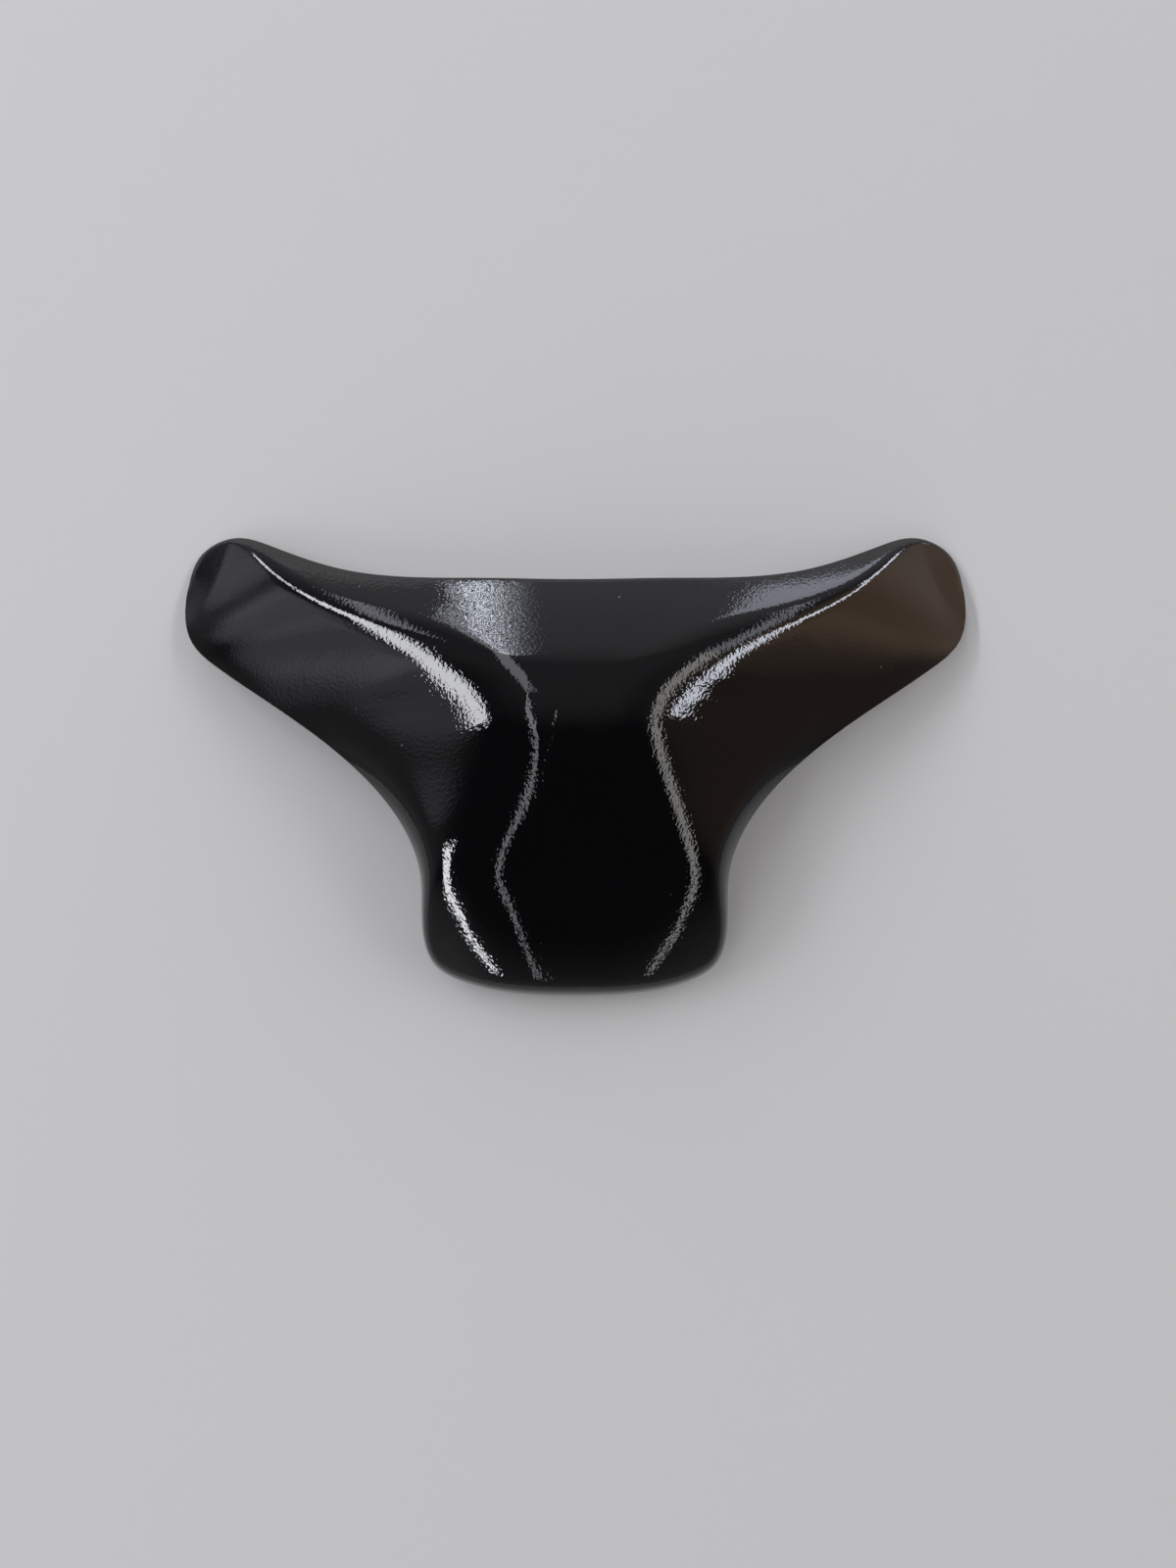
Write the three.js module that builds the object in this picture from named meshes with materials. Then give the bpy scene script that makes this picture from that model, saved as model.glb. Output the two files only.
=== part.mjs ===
// A tank extender for a sports motorcycle: one thermoformed shell that is stuck over the back of the
// fuel tank. It has a brow that carries on the top of the tank, a wing that hugs each side of it, and
// a stem that runs down to the seat.
//
// The frame: +X to the rider's right, +Y forwards, up the slope of the tank, and +Z out of it. The shell
// lies on its nose and on the tips of its wings, at z = 0, and its outline is centred on X and Y. Until
// it is moved there, its nose is at y = 0 and the tank under the nose at z = 0. All sizes are in
// millimetres.
import * as THREE from "three";
import { mergeVertices } from "three/addons/utils/BufferGeometryUtils.js";

// The sheet
const WALL = 2.5; // thickness after forming

// The trimmed edge, seen square on
const BROW_LENGTH = 142; // nose to the middle of the brow's edge
const BROW_HALF = 60; // half of the straight stretch of the brow's edge
const BROW_LIFT = 2.8; // how far the ends of that stretch stand above its middle
const HALF_SPAN = 143.4; // middle to the outermost point of a wing
const WING_TOP = 167.4; // nose to the highest point of a wing
const WING_DEPTH = 52; // wing's highest point down to its heel
const HEEL_IN = 16; // wing's outermost point to its heel, along X
const CREST_FOOT = 32; // wing tip to where its crest starts, along X
const TIP_ROUND = 15; // wing tip to the wing's highest point, along X
const ARMPIT_X = 70; // where the wing turns down into the stem
const ARMPIT_Y = 72;
const STEM_HALF = 53.2; // half the stem's width
const STEM_TOP = 42; // nose to where the stem starts to widen
const STEM_STRAIGHT = 18; // length of the stem's straight side
const NOSE_CORNER = 11; // radius, about, of the nose's corners
const NOSE_BOW = 4.4; // how far the middle of the nose stands out

// The tank under it
const TANK_RADIUS = 188; // roundness along the middle line
const TANK_START = 36.5; // slope at the nose, in degrees
const TIP_REST = 1.5; // how much higher the tank is under the wing tips than under the nose

// The form that stands on the tank
const CREST_Y = 101; // nose to the crest, on the middle line
const NOSE_HEIGHT = 12.5; // the stem's height over the tank at the nose
const CREST_HEIGHT = 24.2; // the crest's height over the tank
const CREST_SWELL = 2.14; // how late the rise from nose to crest comes
const PANEL_ROUND = 81; // radius of the panel's shoulders, across
const PANEL_FALL = 30; // the most that a shoulder falls
const BROW_SLOPE = 0.556; // rise over run of the brow, over the tank
const CREST_SOFT = 11.4; // height over which brow and panel blend on the crest

// Half the width of the panel's flat, between its shoulders: [distance from the nose, half width].
const PANEL_FLAT = [
  [0, 9.3],
  [20, 15.5],
  [32, 18.9],
  [42, 20.1],
  [62, 8.7],
  [76, 2.5],
  [90, 0.8],
  [98, 0],
  [104, 5.7],
  [110, 21],
  [118, 48],
  [130, 90],
];

// Ribs: sections that start square to the brow's edge and land square on the lower edge. Each row says
// where the rib starts and lands, as shares of the two edges from the middle to the wing tip; how far it
// runs square at either end (lead, trail), as shares of the straight line between them; the height of the
// wall at its foot and the distance it takes (wall, run); how steeply the flank rises above that, rise
// over run; and the height over which the crest is rounded (soft).
const RIBS = [
  { start: 0, land: 0, lead: 0.5, trail: 0.1, wall: 12.8, run: 1, rise: 0.145, soft: 2.9 },
  { start: 0.02, land: 0.12, lead: 0.5, trail: 0.1, wall: 13.2, run: 1, rise: 0.107, soft: 3.4 },
  { start: 0.042, land: 0.21, lead: 0.5, trail: 0.1, wall: 10.9, run: 1.3, rise: 0.152, soft: 1.2 },
  { start: 0.066, land: 0.31, lead: 0.5, trail: 0.14, wall: 14.4, run: 2.35, rise: 0.115, soft: 3.9 },
  { start: 0.13, land: 0.42, lead: 0.45, trail: 0.2, wall: 9, run: 2.65, rise: 0.186, soft: 4.9 },
  { start: 0.26, land: 0.55, lead: 0.38, trail: 0.24, wall: 2.3, run: 4.4, rise: 0.274, soft: 7.2 },
  { start: 0.45, land: 0.7, lead: 0.3, trail: 0.25, wall: 0, run: 8.7, rise: 0.234, soft: 4.7 },
  { start: 0.65, land: 0.84, lead: 0.3, trail: 0.25, wall: 1.6, run: 8, rise: 0.094, soft: 2.4 },
  { start: 0.84, land: 0.94, lead: 0.3, trail: 0.25, wall: 0.6, run: 8, rise: 0, soft: 1 },
  { start: 1, land: 1, lead: 0.3, trail: 0.25, wall: 0.6, run: 8, rise: 0, soft: 1 },
];

// The mesh
const STEPS_ACROSS = 52; // ribs from the middle to a wing tip
const STEPS_BROW = 6; // steps along a rib from the brow's edge to the crest
const STEPS_FLANK = 18; // steps along a rib from the crest to the lower edge
const CREST_LEAST = 0.12; // least share of a rib that the steps over the brow take
const SAMPLES = 60; // samples that measure a rib's length

// A smooth curve through the values at the knots: the natural cubic spline, as a function of the knot.
function spline(knots, values) {
  const n = knots.length;
  const bend = new Array(n).fill(0);
  const carry = new Array(n).fill(0);
  for (let i = 1; i < n - 1; i++) {
    const before = knots[i] - knots[i - 1];
    const after = knots[i + 1] - knots[i];
    const turn = (values[i + 1] - values[i]) / after - (values[i] - values[i - 1]) / before;
    const pivot = 2 * (before + after) - before * carry[i - 1];
    carry[i] = after / pivot;
    bend[i] = (6 * turn - before * bend[i - 1]) / pivot;
  }
  bend[n - 1] = 0;
  for (let i = n - 2; i > 0; i--) bend[i] -= carry[i] * bend[i + 1];
  return (at) => {
    let i = 1;
    while (i < n - 1 && at > knots[i]) i++;
    const span = knots[i] - knots[i - 1];
    const u = (knots[i] - at) / span;
    const w = (at - knots[i - 1]) / span;
    const sag = ((u ** 3 - u) * bend[i - 1] + (w ** 3 - w) * bend[i]) * span * span;
    return u * values[i - 1] + w * values[i] + sag / 6;
  };
}

// The smaller of two heights, with the corner between them rounded over a height of soft.
function softMin(a, b, soft) {
  const near = Math.max(soft - Math.abs(a - b), 0) / soft;
  return Math.min(a, b) - (near * near * soft) / 4;
}

// The trimmed edge on the right side, from the middle of the brow round the wing to the nose. The named
// sizes place its corners, and the offsets from them draw how it curves in between.
function outlinePoints() {
  return [
    [0, BROW_LENGTH],
    [BROW_HALF / 2, BROW_LENGTH + BROW_LIFT / 3],
    [BROW_HALF, BROW_LENGTH + BROW_LIFT],
    [BROW_HALF + 21, BROW_LENGTH + 7],
    [HALF_SPAN - CREST_FOOT, WING_TOP - 5.2],
    [HALF_SPAN - TIP_ROUND, WING_TOP],
    [HALF_SPAN - 4, WING_TOP - 5],
    [HALF_SPAN, WING_TOP - 17],
    [HALF_SPAN - 3.4, WING_TOP - 40],
    [HALF_SPAN - HEEL_IN, WING_TOP - WING_DEPTH],
    [ARMPIT_X + 15, ARMPIT_Y + 13.5],
    [ARMPIT_X, ARMPIT_Y],
    [ARMPIT_X - 12, ARMPIT_Y - 16],
    [STEM_HALF, STEM_TOP],
    [STEM_HALF, STEM_TOP - STEM_STRAIGHT],
    [STEM_HALF - 3.6, NOSE_CORNER],
    [STEM_HALF - 15, NOSE_BOW],
    [0, 0],
  ];
}

const TIP_INDEX = 7; // the outline point where the brow's edge meets the lower edge

// The trimmed edge as two curves of a share from 0, at the middle, to 1, at the wing tip.
function makeEdges() {
  const half = outlinePoints();
  const mirrored = half.map(([x, y]) => [-x, y]);
  // Three points of the left side at each end keep the curve square to the middle line.
  const points = [...mirrored.slice(1, 4).reverse(), ...half, ...mirrored.slice(-4, -1).reverse()];
  const knots = [0];
  for (let i = 1; i < points.length; i++) {
    const step = Math.hypot(points[i][0] - points[i - 1][0], points[i][1] - points[i - 1][1]);
    knots.push(knots[i - 1] + step);
  }
  const x = spline(knots, points.map((p) => p[0]));
  const y = spline(knots, points.map((p) => p[1]));
  const browMiddle = knots[3];
  const noseMiddle = knots[knots.length - 4];
  const tip = knots[3 + TIP_INDEX];
  const edge = (from) => (share) => {
    const at = from + (tip - from) * share;
    const reach = 0.05;
    const point = new THREE.Vector2(x(at), y(at));
    const along = new THREE.Vector2(x(at + reach) - x(at - reach), y(at + reach) - y(at - reach));
    // The outline runs clockwise, so its inner side is a quarter turn to the right.
    const inward = new THREE.Vector2(along.y, -along.x).normalize();
    return { point, inward };
  };
  return { brow: edge(browMiddle), lower: edge(noseMiddle) };
}

// How high the tank is on its middle line.
function tankCrown(y) {
  const start = THREE.MathUtils.degToRad(TANK_START);
  const sine = Math.sin(start) - y / TANK_RADIUS;
  return TANK_RADIUS * (Math.sqrt(1 - sine * sine) - Math.cos(start));
}

// How far the tank falls away to the sides. Under the wing tips it is down at the height of the nose,
// so that the shell lies on all three.
function tankFall(x) {
  const tipX = HALF_SPAN - TIP_ROUND / 4;
  const tipY = WING_TOP - TIP_ROUND / 3;
  return (tankCrown(tipY) - TIP_REST) * (x / tipX) ** 2;
}

function tankHeight(x, y) {
  return tankCrown(y) - tankFall(x);
}

const flatHalf = spline(PANEL_FLAT.map((p) => p[0]), PANEL_FLAT.map((p) => p[1]));

// The back of the stem: a panel with round shoulders that rises from the nose to the crest.
function panelHeight(x, y) {
  const share = Math.max(y, 0) / CREST_Y;
  const middle = tankCrown(y) + NOSE_HEIGHT + (CREST_HEIGHT - NOSE_HEIGHT) * share ** CREST_SWELL;
  const past = Math.max(Math.abs(x) - Math.max(flatHalf(y), 0), 0);
  const sag = (past * past) / (2 * PANEL_ROUND);
  return middle - PANEL_FALL * (1 - Math.exp(-sag / PANEL_FALL));
}

// One rib: points on the outer skin from the brow's edge to the lower edge.
function makeRib(t, edges, table) {
  const start = edges.brow(table.start(t));
  const land = edges.lower(table.land(t));
  const chord = start.point.distanceTo(land.point);
  const curve = new THREE.CubicBezierCurve(
    start.point,
    start.point.clone().addScaledVector(start.inward, chord * table.lead(t)),
    land.point.clone().addScaledVector(land.inward, chord * table.trail(t)),
    land.point,
  );
  curve.arcLengthDivisions = SAMPLES;
  const length = curve.getLength();
  const wallHeight = Math.max(table.wall(t), 0);
  const wallRun = table.run(t);
  const rise = Math.max(table.rise(t), 0);
  // The heights of the brow, the panel and the flank at a distance along the rib.
  const faces = (along) => {
    const p = length > 0.001 ? curve.getPointAt(Math.min(along / length, 1)) : start.point;
    const ground = tankHeight(p.x, p.y) + WALL;
    const inset = p.clone().sub(start.point).dot(start.inward);
    const left = length - along;
    return {
      p,
      brow: ground + BROW_SLOPE * inset,
      panel: panelHeight(p.x, p.y) + WALL,
      flank: ground + wallHeight * (1 - Math.exp(-left / wallRun)) + rise * left,
    };
  };
  // The crest is where the brow meets the panel or the flank, found by halving.
  let near = 0;
  let far = length;
  for (let i = 0; i < 20; i++) {
    const middle = (near + far) / 2;
    const at = faces(middle);
    if (at.brow < Math.min(at.panel, at.flank)) near = middle;
    else far = middle;
  }
  const crestAt = Math.max(near, length * CREST_LEAST);
  const points = [];
  for (let j = 0; j <= STEPS_BROW + STEPS_FLANK; j++) {
    // Steps grow shorter towards the foot, where the wall is steep.
    const u = (j - STEPS_BROW) / STEPS_FLANK;
    const along = u < 0 ? (crestAt * j) / STEPS_BROW : length - (length - crestAt) * (1 - u) ** 1.5;
    const { p, brow, panel, flank } = faces(along);
    const back = softMin(brow, panel, CREST_SOFT);
    points.push(new THREE.Vector3(p.x, p.y, softMin(back, flank, table.soft(t))));
  }
  return points;
}

// The outer skin as rows of points, from the left wing tip to the right one.
function outerSkin() {
  const edges = makeEdges();
  const stations = RIBS.map((_, i) => i / (RIBS.length - 1));
  const mirror = (values) => [...values.slice(1).reverse(), ...values];
  const bothSides = [...stations.slice(1).reverse().map((s) => -s), ...stations];
  const even = (key) => spline(bothSides, mirror(RIBS.map((r) => r[key])));
  const odd = (key) =>
    spline(bothSides, [...RIBS.slice(1).reverse().map((r) => -r[key]), ...RIBS.map((r) => r[key])]);
  const table = {
    start: odd("start"),
    land: odd("land"),
    lead: even("lead"),
    trail: even("trail"),
    wall: even("wall"),
    run: even("run"),
    rise: even("rise"),
    soft: even("soft"),
  };
  const right = [];
  for (let i = 0; i <= STEPS_ACROSS; i++) right.push(makeRib(i / STEPS_ACROSS, edges, table));
  const left = right.slice(1).map((rib) => rib.map((p) => new THREE.Vector3(-p.x, p.y, p.z)));
  return [...left.reverse(), ...right];
}

// The outward normal at each point of the skin, from the points around it.
function skinNormals(rows) {
  const last = rows.length - 1;
  const normals = rows.map((row, i) =>
    row.map((_, j) => {
      // A wing tip is one point, so its normal is taken on the rib beside it.
      const k = Math.min(Math.max(i, 1), last - 1);
      const across = rows[k + 1][j].clone().sub(rows[k - 1][j]);
      const down = row.length - 1;
      const along = rows[k][Math.min(j + 1, down)].clone().sub(rows[k][Math.max(j - 1, 0)]);
      return along.cross(across).normalize();
    }),
  );
  for (const i of [0, last]) {
    const mean = new THREE.Vector3();
    for (const n of normals[i]) mean.add(n);
    normals[i] = normals[i].map(() => mean.clone().normalize());
  }
  return normals;
}

// The shell: the outer skin, the same skin moved in by the wall, and the trimmed edge between them.
function shellGeometry() {
  const outer = outerSkin();
  const normals = skinNormals(outer);
  const inner = outer.map((row, i) => row.map((p, j) => p.clone().addScaledVector(normals[i][j], -WALL)));
  const corners = [];
  const face = (a, b, c, d) => corners.push(a, b, c, a, c, d);
  const foot = outer[0].length - 1;
  for (let i = 0; i + 1 < outer.length; i++) {
    for (let j = 0; j < foot; j++) {
      face(outer[i][j], outer[i][j + 1], outer[i + 1][j + 1], outer[i + 1][j]);
      face(inner[i][j], inner[i + 1][j], inner[i + 1][j + 1], inner[i][j + 1]);
    }
    face(outer[i][0], outer[i + 1][0], inner[i + 1][0], inner[i][0]);
    face(outer[i][foot], inner[i][foot], inner[i + 1][foot], outer[i + 1][foot]);
  }
  const soup = new THREE.BufferGeometry().setFromPoints(corners);
  const merged = mergeVertices(soup, 1e-4);
  const index = [];
  for (let i = 0; i < merged.index.count; i += 3) {
    const [a, b, c] = [0, 1, 2].map((k) => merged.index.getX(i + k));
    // At a wing tip the ribs shrink to a point, and a face there has two corners in one place.
    if (a !== b && b !== c && c !== a) index.push(a, b, c);
  }
  merged.setIndex(index);
  merged.computeBoundingBox();
  const { min, max } = merged.boundingBox;
  merged.translate(-(min.x + max.x) / 2, -(min.y + max.y) / 2, -min.z);
  merged.computeVertexNormals();
  return merged;
}

const blackAbs = new THREE.MeshStandardMaterial({ color: 0x101013, roughness: 0.34, metalness: 0 });

const extender = new THREE.Mesh(shellGeometry(), blackAbs);
extender.name = "tank_extender_shell";

const part = new THREE.Group();
part.add(extender);

export default part;
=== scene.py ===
"""The looks of a motorcycle tank extender: one thermoformed shell of black ABS on a pale studio floor.

The shell is worked out in millimetres in the mould's frame: its nose is at y = 0, +Y runs up the slope
of the tank and +Z out of it. It is then moved to the place that the frame gives it, in metres.
"""

import logging
import math
from dataclasses import dataclass, field, fields
from enum import Enum

import bmesh
import bpy
import numpy as np
from mathutils import Matrix, Vector


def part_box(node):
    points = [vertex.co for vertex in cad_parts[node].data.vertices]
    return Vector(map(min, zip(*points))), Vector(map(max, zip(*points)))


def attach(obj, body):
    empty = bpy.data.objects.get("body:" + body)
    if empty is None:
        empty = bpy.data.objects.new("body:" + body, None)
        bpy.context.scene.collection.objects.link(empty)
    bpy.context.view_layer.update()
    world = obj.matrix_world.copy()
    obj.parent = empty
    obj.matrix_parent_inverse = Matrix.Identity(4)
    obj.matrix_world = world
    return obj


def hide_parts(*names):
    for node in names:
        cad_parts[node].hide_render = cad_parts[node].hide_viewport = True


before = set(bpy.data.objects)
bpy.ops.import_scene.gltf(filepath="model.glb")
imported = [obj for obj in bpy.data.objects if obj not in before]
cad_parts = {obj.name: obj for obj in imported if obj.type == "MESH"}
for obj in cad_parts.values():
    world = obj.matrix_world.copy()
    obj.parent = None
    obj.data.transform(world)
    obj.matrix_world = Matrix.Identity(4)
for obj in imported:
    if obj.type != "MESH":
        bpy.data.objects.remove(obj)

MM = 0.001
TINY = 1e-12  # keeps a division away from zero
SHELL_NODE = "tank_extender_shell"

log = logging.getLogger("tank_extender")


def linear(code: str, alpha: float = 1.0) -> tuple[float, float, float, float]:
    """Turns an sRGB hex colour into the linear colour that a shader takes.

    A channel is value / 12.92 near black, and ((value + 0.055) / 1.055) to the power 2.4 above it.

    Args:
        code: the colour, such as "#0a0a0c".
        alpha: the fourth number of the result.

    Returns:
        Linear red, green and blue, and alpha.
    """
    channels = (int(code[i : i + 2], 16) / 255 for i in (1, 3, 5))
    red, green, blue = (c / 12.92 if c <= 0.04045 else ((c + 0.055) / 1.055) ** 2.4 for c in channels)
    return (red, green, blue, alpha)


def add_node(
    tree: bpy.types.NodeTree, kind: str, inputs: dict | None = None, **settings: object
) -> bpy.types.Node:
    """Adds a node, sets its properties and fills or links its inputs.

    Args:
        tree: the tree that gets the node.
        kind: the node's type, such as "ShaderNodeBump".
        inputs: a value or another node's output socket for each named or numbered input.
        **settings: the node's own properties.

    Returns:
        The new node.
    """
    node = tree.nodes.new(kind)
    for name, value in settings.items():
        setattr(node, name, value)
    for key, value in (inputs or {}).items():
        if isinstance(value, bpy.types.NodeSocket):
            tree.links.new(value, node.inputs[key])
        else:
            node.inputs[key].default_value = value
    return node


class NaturalSpline:
    """The smooth curve through given values: a cubic in each span, with no bend at the two ends."""

    def __init__(self, knots: np.ndarray, values: np.ndarray) -> None:
        """Solves for the bend at each knot.

        In each inner row, the bends of three neighbours, weighted by the spans between them, add up to
        six times the change of slope at the middle one.

        Args:
            knots: the places, in rising order.
            values: the value at each of them.
        """
        self.knots = np.asarray(knots, float)
        self.values = np.asarray(values, float)
        span = np.diff(self.knots)
        slope = np.diff(self.values) / span
        inner = np.arange(1, len(self.knots) - 1)
        system = np.eye(len(self.knots))
        system[inner, inner - 1] = span[:-1]
        system[inner, inner] = 2 * (span[:-1] + span[1:])
        system[inner, inner + 1] = span[1:]
        turn = np.zeros(len(self.knots))
        turn[inner] = 6 * np.diff(slope)
        self.bend = np.linalg.solve(system, turn)

    def __call__(self, at: np.ndarray) -> np.ndarray:
        """The curve's values: the straight line between two knots, plus the bow that their bends give.

        Args:
            at: the places, as an array of any shape.

        Returns:
            The values there, in the same shape.
        """
        at = np.asarray(at, float)
        right = np.clip(np.searchsorted(self.knots, at), 1, len(self.knots) - 1)
        left = right - 1
        span = self.knots[right] - self.knots[left]
        u = (self.knots[right] - at) / span
        w = (at - self.knots[left]) / span
        bow = ((u**3 - u) * self.bend[left] + (w**3 - w) * self.bend[right]) * span**2 / 6
        return u * self.values[left] + w * self.values[right] + bow


def soft_min(a: np.ndarray, b: np.ndarray, soft: np.ndarray | float) -> np.ndarray:
    """The smaller of two heights, with the corner between them rounded.

    Where the two are nearer than soft, the smaller one drops by a quarter of soft times the square of
    how near they are, as a share.

    Args:
        a: one height.
        b: the other height.
        soft: the height over which they blend.

    Returns:
        The blended height.
    """
    near = np.maximum(soft - np.abs(a - b), 0) / soft
    return np.minimum(a, b) - near**2 * soft / 4


def interpolate_rows(at: np.ndarray, knots: np.ndarray, values: np.ndarray) -> np.ndarray:
    """Straight-line interpolation in every row of a table at once.

    A place's cell is the number of the row's knots that lie at or before it, less one.

    Args:
        at: places, one row for each row of the table.
        knots: the table's places, in rising order along each row.
        values: the table's values.

    Returns:
        The values at the places.
    """
    cell = (knots[:, None, :] <= at[:, :, None]).sum(-1) - 1
    cell = np.clip(cell, 0, knots.shape[1] - 2)
    before = np.take_along_axis(knots, cell, 1)
    span = np.maximum(np.take_along_axis(knots, cell + 1, 1) - before, TINY)
    start = np.take_along_axis(values, cell, 1)
    rise = np.take_along_axis(values, cell + 1, 1) - start
    return start + rise * np.clip((at - before) / span, 0, 1)


def unit(vectors: np.ndarray) -> np.ndarray:
    """Vectors of length one in the same directions."""
    return vectors / np.maximum(np.linalg.norm(vectors, axis=-1, keepdims=True), TINY)


@dataclass(frozen=True)
class TrimmedEdge:
    """The line to which the formed sheet is trimmed, seen square on, in millimetres."""

    brow_length: float = 142.0
    brow_half: float = 60.0
    brow_lift: float = 2.8
    half_span: float = 143.4
    wing_top: float = 167.4
    wing_depth: float = 52.0
    heel_in: float = 16.0
    crest_foot: float = 32.0
    tip_round: float = 15.0
    armpit_x: float = 70.0
    armpit_y: float = 72.0
    stem_half: float = 53.2
    stem_top: float = 42.0
    stem_straight: float = 18.0
    nose_corner: float = 11.0
    nose_bow: float = 4.4

    def right_half(self) -> np.ndarray:
        """Points from the middle of the brow round the right wing to the nose.

        The points between the named sizes lead the curve round its corners, by small offsets from them.

        Returns:
            The points, as rows of x and y.
        """
        span, top = self.half_span, self.wing_top
        return np.array(
            [
                (0, self.brow_length),
                (self.brow_half / 2, self.brow_length + self.brow_lift / 3),
                (self.brow_half, self.brow_length + self.brow_lift),
                (self.brow_half + 21, self.brow_length + 7),
                (span - self.crest_foot, top - 5.2),
                (span - self.tip_round, top),
                (span - 4, top - 5),
                (span, top - 17),
                (span - 3.4, top - 40),
                (span - self.heel_in, top - self.wing_depth),
                (self.armpit_x + 15, self.armpit_y + 13.5),
                (self.armpit_x, self.armpit_y),
                (self.armpit_x - 12, self.armpit_y - 16),
                (self.stem_half, self.stem_top),
                (self.stem_half, self.stem_top - self.stem_straight),
                (self.stem_half - 3.6, self.nose_corner),
                (self.stem_half - 15, self.nose_bow),
                (0, 0),
            ]
        )


class EdgeStart(Enum):
    """The two ends of the middle line, from which a share of the edge is counted to the wing tip."""

    BROW = "brow"
    NOSE = "nose"


class EdgeCurve:
    """The right half of the trimmed edge as a smooth curve, drawn in by the radius of its rounding."""

    TIP_POINT = 7  # the wing tip's number among the points of the half
    LAP = 3  # how many points of the left side are added at each end
    REACH = 0.05  # how far to each side the curve's direction is taken, in millimetres

    def __init__(self, edge: TrimmedEdge, inset: float) -> None:
        """Runs two splines, of x and of y, through the edge's points by the length of its chords.

        A few points of the left side at each end keep the curve square to the middle line.

        Args:
            edge: the edge's sizes.
            inset: how far inside the edge the points of this curve lie, in millimetres.
        """
        half = edge.right_half()
        mirrored = half * [-1, 1]
        lap = self.LAP
        points = np.concatenate([mirrored[1 : lap + 1][::-1], half, mirrored[-lap - 1 : -1][::-1]])
        chords = np.linalg.norm(np.diff(points, axis=0), axis=1)
        knots = np.concatenate([[0], np.cumsum(chords)])
        self.x = NaturalSpline(knots, points[:, 0])
        self.y = NaturalSpline(knots, points[:, 1])
        self.inset = inset
        self.ends = {EdgeStart.BROW: knots[lap], EdgeStart.NOSE: knots[-lap - 1]}
        self.tip = knots[lap + self.TIP_POINT]

    def at(self, start: EdgeStart, share: np.ndarray) -> tuple[np.ndarray, np.ndarray]:
        """Points on the curve, and the directions that lead square away from it to the inside.

        The curve runs clockwise, so its inner side is a quarter turn to the right of its direction.

        Args:
            start: the end that shares are counted from.
            share: 0 at the middle line, 1 at the wing tip.

        Returns:
            The points and the inward directions, one row for each share.
        """
        at = self.ends[start] + (self.tip - self.ends[start]) * share
        point = np.stack([self.x(at), self.y(at)], -1)
        ahead = np.stack([self.x(at + self.REACH), self.y(at + self.REACH)], -1)
        behind = np.stack([self.x(at - self.REACH), self.y(at - self.REACH)], -1)
        along = unit(ahead - behind)
        inward = np.stack([along[:, 1], -along[:, 0]], -1)
        return point + inward * self.inset, inward


@dataclass(frozen=True)
class Tank:
    """The tank under the shell, in millimetres: round along the middle line, and lower to the sides."""

    edge: TrimmedEdge
    radius: float = 188.0
    start_deg: float = 36.5
    tip_rest: float = 1.5

    def crown(self, y: np.ndarray | float) -> np.ndarray:
        """The height on the middle line: an arc that leaves the nose at the start angle and flattens.

        Args:
            y: distances from the nose.

        Returns:
            The heights over the nose.
        """
        start = math.radians(self.start_deg)
        sine = math.sin(start) - np.asarray(y) / self.radius
        return self.radius * (np.sqrt(1 - sine**2) - math.cos(start))

    def height(self, x: np.ndarray, y: np.ndarray) -> np.ndarray:
        """The crown less a fall that grows with the square of x and brings the wing tips to rest.

        Args:
            x: distances from the middle line.
            y: distances from the nose.

        Returns:
            The heights.
        """
        tip_x = self.edge.half_span - self.edge.tip_round / 4
        tip_y = self.edge.wing_top - self.edge.tip_round / 3
        return self.crown(y) - (self.crown(tip_y) - self.tip_rest) * (x / tip_x) ** 2


@dataclass(frozen=True)
class Panel:
    """The back of the stem, in millimetres: a flat with round shoulders that rises to the crest.

    The flat's half widths are given at distances from the nose.
    """

    tank: Tank
    crest_y: float = 101.0
    nose_height: float = 12.5
    crest_height: float = 24.2
    swell: float = 2.14
    shoulder_radius: float = 81.0
    most_fall: float = 30.0
    flat_half: tuple[tuple[float, float], ...] = (
        (0, 9.3),
        (20, 15.5),
        (32, 18.9),
        (42, 20.1),
        (62, 8.7),
        (76, 2.5),
        (90, 0.8),
        (98, 0),
        (104, 5.7),
        (110, 21),
        (118, 48),
        (130, 90),
    )

    def height(self, x: np.ndarray, y: np.ndarray) -> np.ndarray:
        """The panel's height: the middle's, less the fall of the shoulders.

        The middle stands on the tank by the nose's height, plus a rise to the crest's height that goes
        with the share of the way to the power of the swell. Past the flat, a shoulder falls by the
        square of the distance over twice its radius, and levels off at the most it may fall.

        Args:
            x: distances from the middle line.
            y: distances from the nose.

        Returns:
            The heights.
        """
        share = np.maximum(y, 0) / self.crest_y
        rise = (self.crest_height - self.nose_height) * share**self.swell
        knots, halves = np.array(self.flat_half).T
        flat = np.maximum(NaturalSpline(knots, halves)(y), 0)
        past = np.maximum(np.abs(x) - flat, 0)
        sag = past**2 / (2 * self.shoulder_radius)
        fall = self.most_fall * (1 - np.exp(-sag / self.most_fall))
        return self.tank.crown(y) + self.nose_height + rise - fall


@dataclass(frozen=True)
class Rib:
    """One section of the shell, from the brow's edge over the crest to the lower edge.

    Start and land are shares of the edge's way to the wing tip, lead and trail are shares of the rib's
    chord, flank_rise is a slope, and the wall's height and run and soft are in millimetres.
    """

    start: float
    land: float
    lead: float
    trail: float
    wall_height: float
    wall_run: float
    flank_rise: float
    soft: float


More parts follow.
